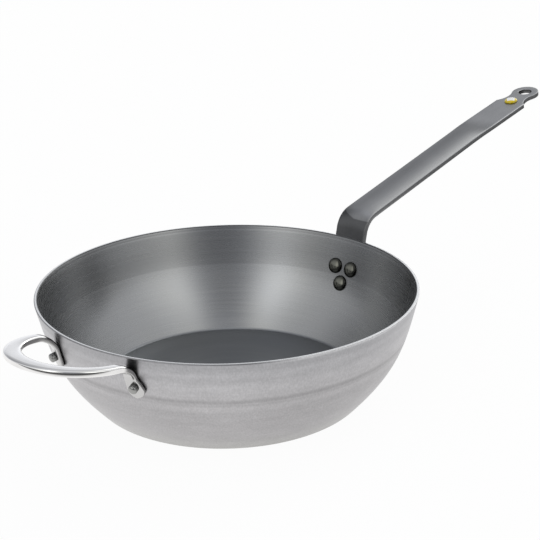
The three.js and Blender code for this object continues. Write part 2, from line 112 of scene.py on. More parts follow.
bm = bmesh.new()
outer_line = chain(bm, [Vector((0, 0, 0)), *wall_line, rim_corner + leaning(RIM_LEAN) * TRIM])
bmesh.ops.bevel(bm, geom=[outer_line[1]], offset=KNUCKLE_OFFSET, segments=6, profile=0.5,
                affect="VERTICES", material=-1)
turn_full(bm, PAN_TURNS)
bmesh.ops.solidify(bm, geom=bm.faces[:], thickness=SHEET)
bmesh.ops.bisect_plane(bm, geom=all_of(bm), dist=1e-7, plane_co=(0, 0, PAN_HEIGHT),
                       plane_no=(0, 0, 1), clear_outer=True)
rim_loops = [e for e in bm.edges if e.is_boundary]
rim_middle = RIM_RADIUS - SHEET / 2
outer_loop = [e for e in rim_loops if e.verts[0].co.xy.length > rim_middle]
inner_loop = [e for e in rim_loops if e.verts[0].co.xy.length < rim_middle]
bmesh.ops.bridge_loops(bm, edges=rim_loops)
bmesh.ops.recalc_face_normals(bm, faces=bm.faces)
for rim_loop, width in ((outer_loop, OUTER_BREAK), (inner_loop, INNER_BREAK)):
    bmesh.ops.bevel(bm, geom=rim_loop, offset=width, segments=4, profile=0.5, affect="EDGES", material=-1)
for face in bm.faces:
    middle = face.calc_center_median()
    on_outer_break = middle.z > PAN_HEIGHT - 2 * OUTER_BREAK and middle.xy.length > rim_middle
    if face.normal.z > 0.99 and middle.z > PAN_HEIGHT - INNER_BREAK:
        face.material_index = RIM_TOP
    elif face.normal.z > 0 and not on_outer_break:
        face.material_index = INSIDE


def add(tree, kind, inputs=None, **settings):
    """A node with its settings, and with values or other nodes' outputs on its inputs."""
    made = tree.nodes.new(kind)
    for key, value in settings.items():
        setattr(made, key, value)
    for key, value in (inputs or {}).items():
        if isinstance(value, bpy.types.NodeSocket):
            tree.links.new(value, made.inputs[key])
        else:
            made.inputs[key].default_value = value
    return made


def blank_material(name, metallic=1.0):
    """A new material, its tree, its surface and the place of a point on the object."""
    material = bpy.data.materials.new(name)
    material.use_nodes = True
    tree = material.node_tree
    tree.nodes.clear()
    surface = add(tree, "ShaderNodeBsdfPrincipled", {"Metallic": metallic})
    add(tree, "ShaderNodeOutputMaterial", {"Surface": surface.outputs["BSDF"]})
    place = add(tree, "ShaderNodeTexCoord").outputs["Object"]
    return material, tree, surface, place


def dress(tree, surface, colour, roughness):
    tree.links.new(colour, surface.inputs["Base Color"])
    tree.links.new(roughness, surface.inputs["Roughness"])


def bumped(tree, surface, relief, strength):
    bump = add(tree, "ShaderNodeBump", {"Height": relief, "Strength": strength, "Distance": 0.0002})
    tree.links.new(bump.outputs["Normal"], surface.inputs["Normal"])


def calculate(tree, operation, *values):
    return add(tree, "ShaderNodeMath", dict(enumerate(values)), operation=operation).outputs[0]


def dot(tree, vector, direction):
    """How far a vector reaches in a direction."""
    product = add(tree, "ShaderNodeVectorMath", {0: vector, 1: direction}, operation="DOT_PRODUCT")
    return product.outputs["Value"]


def noise(tree, place, scale, detail):
    return add(tree, "ShaderNodeTexNoise", {"Vector": place, "Scale": scale, "Detail": detail}).outputs["Fac"]


def stretched(tree, place, scale, turn=(0, 0, 0)):
    """Places scaled by a different number along each axis, which draws noise out into streaks."""
    return add(tree, "ShaderNodeMapping", {"Vector": place, "Rotation": turn, "Scale": scale}).outputs[0]


def shade(tree, value, stops):
    """A colour ramp: stops are (place, grey or colour)."""
    ramp = add(tree, "ShaderNodeValToRGB", {"Fac": value})
    band = ramp.color_ramp
    while len(band.elements) < len(stops):
        band.elements.new(0.5)
    for element, (place, colour) in zip(band.elements, stops):
        element.position = place
        grey = isinstance(colour, (int, float))
        element.color = (colour, colour, colour, 1) if grey else (*colour, 1)
    return ramp.outputs["Color"]


def mixed(tree, kind, factor, first, second):
    """Two colours mixed or multiplied. The node's colours are on its inputs 6 and 7 and its output 2."""
    mix = add(tree, "ShaderNodeMix", {0: factor, 6: first, 7: second}, data_type="RGBA", blend_type=kind)
    return mix.outputs[2]


def times(tree, colour, tone):
    return mixed(tree, "MULTIPLY", 1.0, colour, tone)


def toned(tree, colour, *layers):
    """A colour lightened and darkened by noises, each given with its lowest and highest tone."""
    for value, low, high in layers:
        colour = times(tree, colour, shade(tree, value, ((NOISE_LOW, low), (NOISE_HIGH, high))))
    return colour


def spread_to(tree, value, low, high):
    """A noise value spread over a range."""
    return add(tree, "ShaderNodeMapRange", {"Value": value, "From Min": NOISE_LOW, "From Max": NOISE_HIGH,
                                            "To Min": low, "To Max": high}).outputs["Result"]


def share_between(tree, value, start, end):
    """How far a value has come from one number to another, from 0 to 1."""
    return add(tree, "ShaderNodeMapRange", {"Value": value, "From Min": start,
                                            "From Max": end}).outputs["Result"]


# The grain that grinding leaves on a turning pan: fine rings, read from how far a point lies along the
# sheet from its centre.
turned_grain = bpy.data.node_groups.new("turned_grain", "ShaderNodeTree")
for socket, kind in (("Fineness", "INPUT"), ("Streak length", "INPUT"), ("Detail", "INPUT"),
                     ("Grain", "OUTPUT")):
    turned_grain.interface.new_socket(socket, in_out=kind, socket_type="NodeSocketFloat")
settings = add(turned_grain, "NodeGroupInput").outputs
sheet_place = add(turned_grain, "ShaderNodeTexCoord").outputs["Object"]
sheet_height = add(turned_grain, "ShaderNodeSeparateXYZ", {"Vector": sheet_place}).outputs["Z"]
in_plan = add(turned_grain, "ShaderNodeVectorMath", {0: sheet_place, 1: (1, 1, 0)}, operation="MULTIPLY")
from_axis = add(turned_grain, "ShaderNodeVectorMath", {0: in_plan.outputs[0]}, operation="LENGTH")
from_centre = calculate(turned_grain, "ADD", from_axis.outputs["Value"], sheet_height)
ring_number = calculate(turned_grain, "MULTIPLY", from_centre, settings["Fineness"])
per_streak = calculate(turned_grain, "DIVIDE", 1.0, settings["Streak length"])
long_way = add(turned_grain, "ShaderNodeVectorMath", {0: in_plan.outputs[0], "Scale": per_streak},
               operation="SCALE")
short_way = add(turned_grain, "ShaderNodeCombineXYZ", {"Z": ring_number})
streaks = add(turned_grain, "ShaderNodeVectorMath", {0: long_way.outputs[0], 1: short_way.outputs[0]},
              operation="ADD")
grain_noise = add(turned_grain, "ShaderNodeTexNoise", {"Vector": streaks.outputs[0], "Scale": 1.0,
                                                       "Detail": settings["Detail"], "Roughness": 0.6})
add(turned_grain, "NodeGroupOutput", {"Grain": grain_noise.outputs["Fac"]})


def grain_of(tree, fineness, streak, detail):
    return add(tree, "ShaderNodeGroup", {"Fineness": fineness, "Streak length": streak, "Detail": detail},
               node_tree=turned_grain).outputs["Grain"]


def height_of(tree, place):
    """Height up the pan as a share of its whole height."""
    z = add(tree, "ShaderNodeSeparateXYZ", {"Vector": place}).outputs["Z"]
    return calculate(tree, "DIVIDE", z, PAN_HEIGHT)


def at_heights(*stops):
    """Heights in metres turned into shares of the pan's height."""
    return [(height / PAN_HEIGHT, tone) for height, tone in stops]


def outside_finish():
    material, tree, surface, place = blank_material("pan_outside")
    drift = spread_to(tree, noise(tree, place, 11.0, 2.0), -0.003, 0.003)
    level = calculate(tree, "ADD", height_of(tree, place), drift)
    rings = at_heights((0.0, 0.43), (0.008, 0.436), (0.013, 0.422), (0.022, 0.424), (0.036, 0.43),
                       (0.047, 0.432), (0.0505, 0.468), (0.053, 0.474), (0.0548, 0.415), (0.056, 0.432),
                       (0.0573, 0.375), (0.0583, 0.365), (0.0594, 0.4), (0.061, 0.474), (0.063, 0.47),
                       (0.066, 0.492), (0.072, 0.492), (0.075, 0.465), (0.078, 0.436), (0.0805, 0.462),
                       (0.083, 0.47), (0.0865, 0.408), (0.088, 0.415), (0.0905, 0.405), (0.0914, 0.42),
                       (0.0918, 0.32))
    tint = at_heights((0.004, (1.0, 0.985, 0.964)), (0.02, (1.0, 0.973, 0.986)), (0.06, (1.0, 0.98, 0.997)),
                      (0.09, (0.99, 0.983, 1.015)))
    colour = times(tree, shade(tree, level, rings), shade(tree, level, tint))
    # The outer rim break is painted lighter on one side of the pan only: a painted highlight.
    glint_side = shade(tree, dot(tree, place, RIM_GLINT_SIDE), ((0.026, 0.0), (0.06, 1.0), (0.125, 1.0), (0.15, 0.2)))
    edge = shade(tree, level, at_heights((0.0899, 0.0), (0.0908, 0.55), (0.0919, 1.0)))
    colour = mixed(tree, "MIX", calculate(tree, "MULTIPLY", glint_side, edge), colour, (0.62, 0.62, 0.63, 1))
    fine = grain_of(tree, 1900, 0.05, 3)
    bands = grain_of(tree, 420, 0.15, 3)
    clouds = noise(tree, place, 16.0, 5.0)
    smears = noise(tree, stretched(tree, place, (60, 30, 160), (0.5, 0, 0)), 1.0, 4.0)
    mottle = noise(tree, stretched(tree, place, (850, 850, 420)), 1.0, 2.0)
    colour = toned(tree, colour, (fine, 0.965, 1.035), (mottle, 0.915, 1.085), (bands, 0.97, 1.03),
                   (clouds, 0.965, 1.03), (smears, 0.94, 1.03))
    dress(tree, surface, colour, spread_to(tree, bands, 0.31, 0.37))
    bumped(tree, surface, fine, 0.15)
    return material


def inside_finish():
    material, tree, surface, place = blank_material("pan_inside")
    level = height_of(tree, place)
    # Painted shade: the tone steps down above 57 mm for a change in the wall's reflection there, and the
    # inner rim break is painted near black as a line of shade.
    colour = shade(tree, level, at_heights((0.003, (0.255, 0.261, 0.269)), (0.0042, 0.34), (0.052, 0.35),
                                           (0.0562, 0.362), (0.0574, 0.314), (0.0872, 0.325), (0.0886, 0.4),
                                           (0.0896, 0.3), (0.0914, 0.335), (0.0918, 0.11)))
    patches = noise(tree, place, 12.0, 2.0)
    tint = shade(tree, patches, ((0.35, (0.985, 1.0, 1.03)), (0.65, (0.995, 1.004, 1.01))))
    fine = grain_of(tree, 1500, 0.03, 2)
    bands = grain_of(tree, 260, 0.12, 2)
    specks = noise(tree, place, 900.0, 2.0)
    colour = toned(tree, times(tree, colour, tint), (fine, 0.991, 1.009), (bands, 0.97, 1.03),
                   (specks, 0.985, 1.015))
    rough = shade(tree, level, at_heights((0.003, 0.36), (0.0045, 0.27)))
    dress(tree, surface, colour, toned(tree, rough, (bands, 0.95, 1.05)))
    return material


def rim_finish():
    material, tree, surface, _ = blank_material("pan_rim")
    filed = grain_of(tree, 2400, 0.02, 3)
    colour = shade(tree, filed, ((NOISE_LOW, 0.84), (NOISE_HIGH, 0.93)))
    dress(tree, surface, colour, spread_to(tree, filed, 0.16, 0.24))
    return material


finish_piece("pan_bowl", bm, [outside_finish(), inside_finish(), rim_finish()], "pan_steel", "pan_body")


# Long handle: a flat steel bar. Its foot is curved to the wall and riveted there, the bar bends out over the
# rim, is arched across the grip for stiffness, and flattens to a stamped eye for hanging.
BAR = 0.0045
BAR_EDGE = 0.00045
BAR_WIDTH = 0.0334
FOOT_WIDTH, GRIP_WIDTH = 0.033, 0.0322
FOOT_BOTTOM, FOOT_CORNER = 0.037, 0.012
BEND_RADIUS = 0.020
GRIP_RISE, END_RISE = math.radians(14), math.radians(12.4)
GRIP_CROWN, CROWN_START, CROWN_FULL, CROWN_OUT = 0.0032, 0.022, 0.008, 0.038
EYE = Vector((0.4515, 0, 0.1806))
EYE_RADIUS, EYE_HOLE = 0.0139, 0.0068
END_LENGTH, SHOULDER, NECK_RADIUS = 0.103, 0.0289, 0.021
GAP = 0.0003
FOOT_STEPS, BEND_STEPS, GRIP_STEPS, END_STEPS = 24, 25, 50, 30
SHORT_CUT, LONG_CUT, CUTS_ACROSS = 0.004, 0.006, 14
SATIN, SHEARED = range(2)
# Bounds of the painted highlight along one long edge of the bar.
GLINT_FROM, GLINT_TO = -0.0152, -0.016
# Top, slant and fade of the painted shade on the foot.
FOOT_SHADE_TOP, FOOT_SHADE_SLANT = 0.1091, 0.005
FOOT_SHADE_EDGE, FOOT_SHADE_FADE, FOOT_SHADE_SIDE = 0.0004, 0.0076, 0.008
ARCH_END, FLAT_START = 0.358, 0.374
BORE_DARK, BORE_CLEAR = 0.009, 0.011
GRAZING_TONE = (0.4, 0.4, 0.4, 1)


def heading(angle):
    return Vector((math.cos(angle), 0, math.sin(angle)))


def wall_at(height):
    """Radius of the wall's outside at a height, and its lean from upright."""
    for low, high in zip(wall_line, wall_line[1:]):
        if high.z >= height - 1e-9:
            point = low.lerp(high, (height - low.z) / (high.z - low.z))
            step = high - low
            return point.x, math.atan2(step.x, step.z)


stations = []
for height in np.linspace(FOOT_BOTTOM, PAN_HEIGHT, FOOT_STEPS):
    radius, lean = wall_at(height)
    off = Vector((math.cos(lean), 0, -math.sin(lean))) * GAP
    stations.append((Vector((radius, 0, height)) + off, math.pi / 2 - lean, math.cos(lean) / radius))
rim_point, rim_angle, rim_wrap = stations[-1]
end_start = EYE - heading(END_RISE) * END_LENGTH
span = end_start - rim_point
up, out = heading(rim_angle), heading(GRIP_RISE)
corner = rim_point + up * ((span.x * out.z - span.z * out.x) / (up.x * out.z - up.z * out.x))
bend_turn = rim_angle - GRIP_RISE
bend_start = corner - up * BEND_RADIUS * math.tan(bend_turn / 2)
bend_centre = bend_start + heading(rim_angle - math.pi / 2) * BEND_RADIUS
for share in np.linspace(0, 1, BEND_STEPS):
    angle = rim_angle - bend_turn * share
    point = bend_centre + heading(angle + math.pi / 2) * BEND_RADIUS
    stations.append((point, angle, rim_wrap * (1 - share) ** 2))
bend_end = stations[-1][0]
for share in np.linspace(1 / GRIP_STEPS, 1, GRIP_STEPS):
    stations.append((bend_end.lerp(end_start, share), GRIP_RISE, 0))
for run in np.linspace(SHORT_CUT, END_LENGTH + EYE_RADIUS, END_STEPS):
    stations.append((end_start + heading(END_RISE) * run, END_RISE, 0))

points = np.array([p for p, _, _ in stations])
angles = np.array([a for _, a, _ in stations])
wraps = np.array([w for _, _, w in stations])
travel = np.concatenate([[0], np.cumsum(np.linalg.norm(np.diff(points, axis=0), axis=1))])
rim_station = FOOT_STEPS - 1
bend_station = rim_station + BEND_STEPS
end_station = bend_station + GRIP_STEPS
rim_run, bend_run, end_run = travel[rim_station], travel[bend_station], travel[end_station]
eye_run = end_run + END_LENGTH


def eased(value, start, end):
    share = min(max((value - start) / (end - start), 0), 1)
    return share * share * (3 - 2 * share)


def bent(flat):
    """A point of the flat bar, as run along it, way across it and depth, moved to its place."""
    run, across, depth = flat
    grown = eased(run, bend_run - CROWN_START, bend_run + CROWN_FULL)
    faded = eased(run, end_run - CROWN_OUT / 2, end_run + CROWN_OUT / 2)
    width = FOOT_WIDTH + (GRIP_WIDTH - FOOT_WIDTH) * grown
    width += (BAR_WIDTH - width) * faded
    across *= width / BAR_WIDTH
    wrap = np.interp(run, travel, wraps)
    lift = GRIP_CROWN * grown * (1 - faded) * (1 - (2 * across / width) ** 2)
    if wrap > 1e-6:
        lift += 1 / wrap - math.sqrt(1 / wrap ** 2 - across ** 2)
    middle = Vector([np.interp(run, travel, points[:, k]) for k in range(3)])
    middle += heading(np.interp(run, travel, angles) + math.pi / 2) * (lift + depth)
    return middle + Vector((0, across, 0))


def swing(bm, vert, centre, angle, steps):
    """Draws an arc from a vertex and gives the vertex at its end."""
    made = bmesh.ops.spin(bm, geom=[vert], cent=centre, axis=(0, 0, 1), angle=angle, steps=steps)
    return next(g for g in made["geom_last"] if isinstance(g, bmesh.types.BMVert))


half = BAR_WIDTH / 2
shoulder = Vector((-SHOULDER, half))
to_neck = EYE_RADIUS + NECK_RADIUS
neck_cosine = to_neck ** 2 + shoulder.length_squared - NECK_RADIUS ** 2
neck_cosine /= 2 * to_neck * shoulder.length
neck_angle = math.atan2(shoulder.y, shoulder.x) - math.acos(neck_cosine)
neck = Vector((math.cos(neck_angle), math.sin(neck_angle))) * to_neck
from_neck = math.atan2(shoulder.y - neck.y, shoulder.x - neck.x) % (2 * math.pi)
neck_turn = neck_angle + math.pi - from_neck
eye_middle = Vector((eye_run, 0, 0))

bm = bmesh.new()
left_shoulder = bm.verts.new((eye_run - SHOULDER, half, 0))
tip = swing(bm, left_shoulder, eye_middle + Vector((neck.x, neck.y, 0)), neck_turn, 14)
tip = swing(bm, tip, eye_middle, -2 * neck_angle, 48)
right_shoulder = swing(bm, tip, eye_middle + Vector((neck.x, -neck.y, 0)), neck_turn, 14)
bmesh.ops.create_circle(bm, radius=EYE_HOLE, segments=64, matrix=Matrix.Translation(eye_middle))
bm.edges.new((left_shoulder, right_shoulder))
bmesh.ops.triangle_fill(bm, edges=bm.edges[:], use_beauty=True, normal=(0, 0, 1))
foot_left = bm.verts.new((0, half, 0))
foot_right = bm.verts.new((0, -half, 0))
bm.faces.new((left_shoulder, foot_left, foot_right, right_shoulder))
bmesh.ops.bevel(bm, geom=[foot_left, foot_right], offset=FOOT_CORNER, segments=8, profile=0.5,
                affect="VERTICES", material=-1)
lower = bmesh.ops.extrude_face_region(bm, geom=bm.faces[:])["geom"]
bmesh.ops.translate(bm, verts=[g for g in lower if isinstance(g, bmesh.types.BMVert)], vec=(0, 0, -BAR))
bmesh.ops.recalc_face_normals(bm, faces=bm.faces)
level_edges = [e for e in bm.edges if abs(e.verts[0].co.z - e.verts[1].co.z) < 1e-6]
corners = [e for e in level_edges if e.calc_face_angle(0) > 1]
bmesh.ops.bevel(bm, geom=corners, offset=BAR_EDGE, segments=3, profile=0.5, affect="EDGES", material=-1)
for face in bm.faces:
    face.material_index = SHEARED if abs(face.normal.z) < 0.3 else SATIN
cuts = [
    *np.arange(SHORT_CUT, rim_run, SHORT_CUT),
    *travel[rim_station:bend_station + 1],
    *np.arange(bend_run + SHORT_CUT, eye_run - SHOULDER, LONG_CUT),
]
for run in cuts:
    bmesh.ops.bisect_plane(bm, geom=all_of(bm), dist=1e-7, plane_co=(run, 0, 0), plane_no=(1, 0, 0))
for across in np.linspace(-half, half, CUTS_ACROSS)[1:-1]:
    bmesh.ops.bisect_plane(bm, geom=all_of(bm), dist=1e-7, plane_co=(0, across, 0), plane_no=(0, 1, 0))
for vert in bm.verts:
    vert.co = bent(vert.co)


def bar_finish():
    material, tree, surface, place = blank_material("handle_satin")
    axes = add(tree, "ShaderNodeSeparateXYZ", {"Vector": place}).outputs
    grain = noise(tree, stretched(tree, place, (40, 1500, 60)), 1.0, 3.0)
    clouds = noise(tree, place, 30.0, 4.0)
    specks = noise(tree, place, 1100.0, 2.0)
    colour = shade(tree, clouds, ((NOISE_LOW, (0.466, 0.47, 0.481)), (NOISE_HIGH, (0.5, 0.504, 0.515))))
    # One long edge of the bar is painted lighter: a painted highlight along that edge.
    edge_glint = share_between(tree, axes["Y"], GLINT_FROM, GLINT_TO)
    colour = mixed(tree, "MIX", edge_glint, colour, (0.6, 0.6, 0.61, 1))
    # Below a slanting line the foot is painted dark, lightening again just above it: painted shade for the
    # dark reflection on the foot.
    slant = add(tree, "ShaderNodeMapRange", {"Value": axes["Y"], "From Min": 0.0, "From Max": FOOT_WIDTH / 2,
                                             "To Min": 0.0, "To Max": FOOT_SHADE_SLANT}).outputs["Result"]
    above = calculate(tree, "SUBTRACT", axes["Z"], slant)
    scale = share_between(tree, above, FOOT_SHADE_TOP - FOOT_SHADE_EDGE, FOOT_SHADE_TOP + FOOT_SHADE_FADE)
    colour = times(tree, colour, shade(tree, scale, ((0.0, 0.32), (0.09, 0.66), (0.7, 1.0))))
    flattened = share_between(tree, axes["X"], ARCH_END, FLAT_START)
    colour = times(tree, colour, shade(tree, flattened, ((0.0, 0.74), (1.0, 1.0))))
    colour = toned(tree, colour, (grain, 0.96, 1.04), (specks, 0.955, 1.045))
    dress(tree, surface, colour, spread_to(tree, clouds, 0.27, 0.32))
    bumped(tree, surface, specks, 0.12)
    surface.inputs["Specular Tint"].default_value = GRAZING_TONE
    return material


def sheared_finish():
    material, tree, surface, place = blank_material("handle_sheared")
    clouds = noise(tree, place, 300.0, 3.0)
    colour = shade(tree, clouds, ((NOISE_LOW, (0.265, 0.267, 0.272)), (NOISE_HIGH, (0.295, 0.297, 0.302))))
    from_eye = add(tree, "ShaderNodeVectorMath", {0: place, 1: EYE}, operation="DISTANCE").outputs["Value"]
    bore = share_between(tree, from_eye, BORE_DARK, BORE_CLEAR)
    colour = times(tree, colour, shade(tree, bore, ((0.0, 0.4), (1.0, 1.0))))
    # The foot's cut sides are painted darker too: the same painted shade.
    above = add(tree, "ShaderNodeSeparateXYZ", {"Vector": place}).outputs["Z"]
    scale = share_between(tree, above, FOOT_SHADE_TOP - FOOT_SHADE_SIDE, FOOT_SHADE_TOP)
    colour = times(tree, colour, shade(tree, scale, ((0.0, 0.6), (1.0, 1.0))))
    dress(tree, surface, colour, spread_to(tree, clouds, 0.3, 0.4))
    surface.inputs["Specular Tint"].default_value = GRAZING_TONE
    return material


finish_piece("handle_bar", bm, [bar_finish(), sheared_finish()], "handle_steel", "long_handle")


# Handle rivets: three steel rivets with domed heads inside the pan, two above and one below. Their shanks go
# through the wall and the bar's foot and are upset outside.
HEAD_RADIUS, HEAD_HEIGHT = 0.00725, 0.0036
SHANK_RADIUS = 0.0035
TAIL_RADIUS, TAIL_HEIGHT = 0.0055, 0.0024
UPPER_HEIGHT, LOWER_HEIGHT, UPPER_ASIDE = 0.0644, 0.050, 0.0092
HEAD_CLEAR = 0.00018


def wall_frame(azimuth, height):
    """A frame on the wall's outside: Z straight out of the metal, X round the pan."""
    radius, lean = wall_at(height)
    out = Vector((math.cos(lean), 0, -math.sin(lean)))
    side = Vector((0, 1, 0))
    seat = Matrix((side, out.cross(side), out)).transposed().to_4x4()
    seat.translation = (radius, 0, height)
    return Matrix.Rotation(azimuth, 4, "Z") @ seat


def dome(radius, height, steps, base=0.0, sign=1):
    """The line of a dome from its edge to its pole."""
    return [Vector((radius * math.cos(t), 0, base + sign * height * math.sin(t)))
            for t in np.linspace(0, math.pi / 2, steps + 1)]


def rivet(seat, shank, gripped, tail, place):
    """A turned rivet on the wall, with its head inside the pan."""
    made = bmesh.new()
    head = dome(HEAD_RADIUS, HEAD_HEIGHT, 10, seat, -1)
    line = [*reversed(head), Vector((shank, 0, seat)), Vector((shank, 0, gripped)),
            *[p + Vector((0, 0, gripped)) for p in tail]]
    line[0].x = line[-1].x = 0
    chain(made, line)
    turn_full(made, 48)
    crown = made.verts.layers.float.new("crown")
    for vert in made.verts:
        vert[crown] = max((seat - vert.co.z) / HEAD_HEIGHT, (vert.co.z - gripped) / (line[-1].z - gripped), 0)
    bmesh.ops.transform(made, matrix=place, verts=made.verts)
    return made


def rivet_finish(name, seam, flank, crown_tone, roughness):
    material, tree, surface, place = blank_material(name)
    clouds = noise(tree, place, 260.0, 3.0)
    crown = add(tree, "ShaderNodeAttribute", attribute_name="crown").outputs["Fac"]
    colour = shade(tree, crown, ((0.0, seam), (0.5, flank), (1.0, crown_tone)))
    rough = spread_to(tree, clouds, roughness, roughness + 0.06)
    dress(tree, surface, toned(tree, colour, (clouds, 0.92, 1.08)), rough)
    return material


gunmetal = rivet_finish("rivet_gunmetal", 0.02, (0.045, 0.045, 0.04), (0.18, 0.18, 0.156), 0.05)
head_seat = -(SHEET + HEAD_CLEAR + GAP)
peened = dome(TAIL_RADIUS, TAIL_HEIGHT, 8)
upper_turn = math.asin(UPPER_ASIDE / wall_at(UPPER_HEIGHT)[0])
for name, azimuth, height in (("handle_rivet_upper_left", upper_turn, UPPER_HEIGHT),
                              ("handle_rivet_upper_right", -upper_turn, UPPER_HEIGHT),
                              ("handle_rivet_lower", 0, LOWER_HEIGHT)):
    bm = rivet(head_seat, SHANK_RADIUS, BAR + 2 * GAP, peened, wall_frame(azimuth, height))
    finish_piece(name.replace("handle_rivet", "handle_rivet_head"), bm, [gunmetal], "rivet_steel", name)


# Helper: a cast stainless loop, mirror polished. The backs of its lugs are painted near black and their sides
# and faces darker, fading out along the arms, and the inner side of the whole loop is painted darker: painted
# shade for the contact shadow and the wall's dark reflections, rougher where it is painted. The lugs lie on
# the wall under a rivet each, bend out below the rim into slim arms, and the arms widen into a flat bow for
# the second hand.
HELPER_TURN = math.radians(3)
HELPER_SPREAD, NECK_SPREAD = math.radians(16.3), math.radians(15.3)
HELPER_RIVET_HEIGHT = 0.069
LUG_WIDTH, LUG, LUG_DROP, LUG_TIP, LUG_EASE = 0.0146, 0.0034, 0.010, 0.003, 1.5
LUG_NECK, NECK_BELOW, NECK_EASE = 0.0104, 0.003, 1.3
LOOP_HEIGHT, LOOP_RISE, LOOP_REACH = 0.0896, math.radians(7.4), 0.0492
LOOP_HALF_WIDTH, LOOP_LEAN, LOOP_BEND, LOOP_PULL = 0.0444, 0.006, 0.0135, 0.0078
BOW_WIDTH, ARM_WIDTH, LOOP = 0.013, 0.0086, 0.0056
LUG_STEPS, ARM_STEPS, BOW_STEPS = 25, 16, 28
SECTION_CORNER, SECTION_FLAT = 0.26, 0.25
# How the painted shade on the loop fades out along the arms, and how strong it is on the sides, faces and
# inner side.
LUG_SHADE_FADE, LUG_SHADE_GONE = 0.64, 0.82
LUG_SIDE_SHADE, LUG_FACE_SHADE, INNER_SIDE_SHADE = 0.6, 0.33, 0.6

outward = Vector((-math.cos(LOOP_RISE), 0, math.sin(LOOP_RISE)))
loop_up = Vector((math.sin(LOOP_RISE), 0, math.cos(LOOP_RISE)))
loop_stations = []


def loop_station(point, course, side, width, thickness, shade_share):
    """Notes a place for the loop's section, and how much of its back is painted dark as shade."""
    side = (side - course * side.dot(course)).normalized()
    up = side.cross(course)
    place = Matrix((side * width, up * thickness, course)).transposed().to_4x4()
    place.translation = point - up * thickness / 2
    loop_stations.append((place, shade_share))


def round_wall(azimuth):
    return Vector((math.sin(azimuth), math.cos(azimuth), 0))


lug_end = HELPER_RIVET_HEIGHT - LUG_DROP * math.cos(wall_at(HELPER_RIVET_HEIGHT)[1])
lug_top = LOOP_HEIGHT - LOOP_BEND
neck_start = HELPER_RIVET_HEIGHT - NECK_BELOW
before, from_end = None, 0
for share in np.linspace(0, 1, LUG_STEPS) ** LUG_EASE:
    height = lug_end + (lug_top - lug_end) * share
    taper = max((height - neck_start) / (lug_top - neck_start), 0) ** NECK_EASE
    azimuth = HELPER_SPREAD + (NECK_SPREAD - HELPER_SPREAD) * taper
    radius, lean = wall_at(height)
    meridian = Vector((-math.cos(azimuth), math.sin(azimuth), 0))
    point = meridian * (radius + GAP * math.cos(lean)) + Vector((0, 0, height - GAP * math.sin(lean)))
    from_end += (point - before).length if before else 0
    before = point
    rounding = max(LUG_WIDTH / 2 - from_end, 0)
    width = max(2 * math.sqrt(LUG_WIDTH ** 2 / 4 - rounding ** 2), LUG_TIP)
    width = min(width, LUG_WIDTH + (LUG_NECK - LUG_WIDTH) * taper)
    course = meridian * math.sin(lean) + Vector((0, 0, math.cos(lean)))
    loop_station(point, course, round_wall(azimuth), width, LUG, 1.0)
arm_start = Vector((-RIM_RADIUS * math.cos(NECK_SPREAD), LOOP_HALF_WIDTH, LOOP_HEIGHT)) + outward * LOOP_BEND
arm_line = interpolate_bezier(point, point + course * LOOP_PULL, arm_start - outward * LOOP_PULL, arm_start,
                              ARM_STEPS + 1)
for i in range(1, ARM_STEPS + 1):
    share = i / ARM_STEPS
    course = (arm_line[min(i + 1, ARM_STEPS)] - arm_line[i - 1]).normalized()
    loop_station(arm_line[i], course, round_wall(NECK_SPREAD * (1 - share)),
                 LUG_NECK + (ARM_WIDTH - LUG_NECK) * share, LUG + (LOOP - LUG) * share,
                 1 - eased(share, LUG_SHADE_FADE, LUG_SHADE_GONE))
bow = Vector((-RIM_RADIUS, 0, LOOP_HEIGHT)) + outward * LOOP_REACH
bow_depth = (bow - arm_start).dot(outward)
for sweep in np.linspace(0, math.pi / 2, BOW_STEPS + 1)[1:]:
    aside = Vector((arm_start.x, LOOP_HALF_WIDTH * math.cos(sweep), arm_start.z))
    course = outward * bow_depth * math.cos(sweep) - Vector((0, LOOP_HALF_WIDTH * math.sin(sweep), 0))
    course.normalize()
    point = aside + outward * bow_depth * math.sin(sweep)
    width = ARM_WIDTH + (BOW_WIDTH - ARM_WIDTH) * eased(math.sin(sweep), 0, 1)
    loop_station(point, course, course.cross(loop_up), width, LOOP, 0.0)

bm = bmesh.new()
bmesh.ops.create_grid(bm, x_segments=1, y_segments=1, size=0.5)
bmesh.ops.bevel(bm, geom=bm.verts[:], offset=SECTION_CORNER, segments=5, profile=0.5, affect="VERTICES",
                material=-1)
painted_shade_layer = bm.verts.layers.float.new("painted_shade")
bm.faces.ensure_lookup_table()
face = bm.faces[0]
section = [v.co.copy() for v in face.verts]


def place_section(face, place, shade_share):
    # Backs get the full painted shade, sides and faces less, and the inner side of the whole loop some even
    # where the rest is polished.
    for vert, flat in zip(face.verts, section):
        vert.co = place @ flat
        if flat.y > SECTION_FLAT:
            vert[painted_shade_layer] = shade_share
        elif flat.y > -SECTION_FLAT:
            vert[painted_shade_layer] = max(LUG_SIDE_SHADE * shade_share, INNER_SIDE_SHADE if flat.x < 0 else 0)
        else:
            vert[painted_shade_layer] = LUG_FACE_SHADE * shade_share


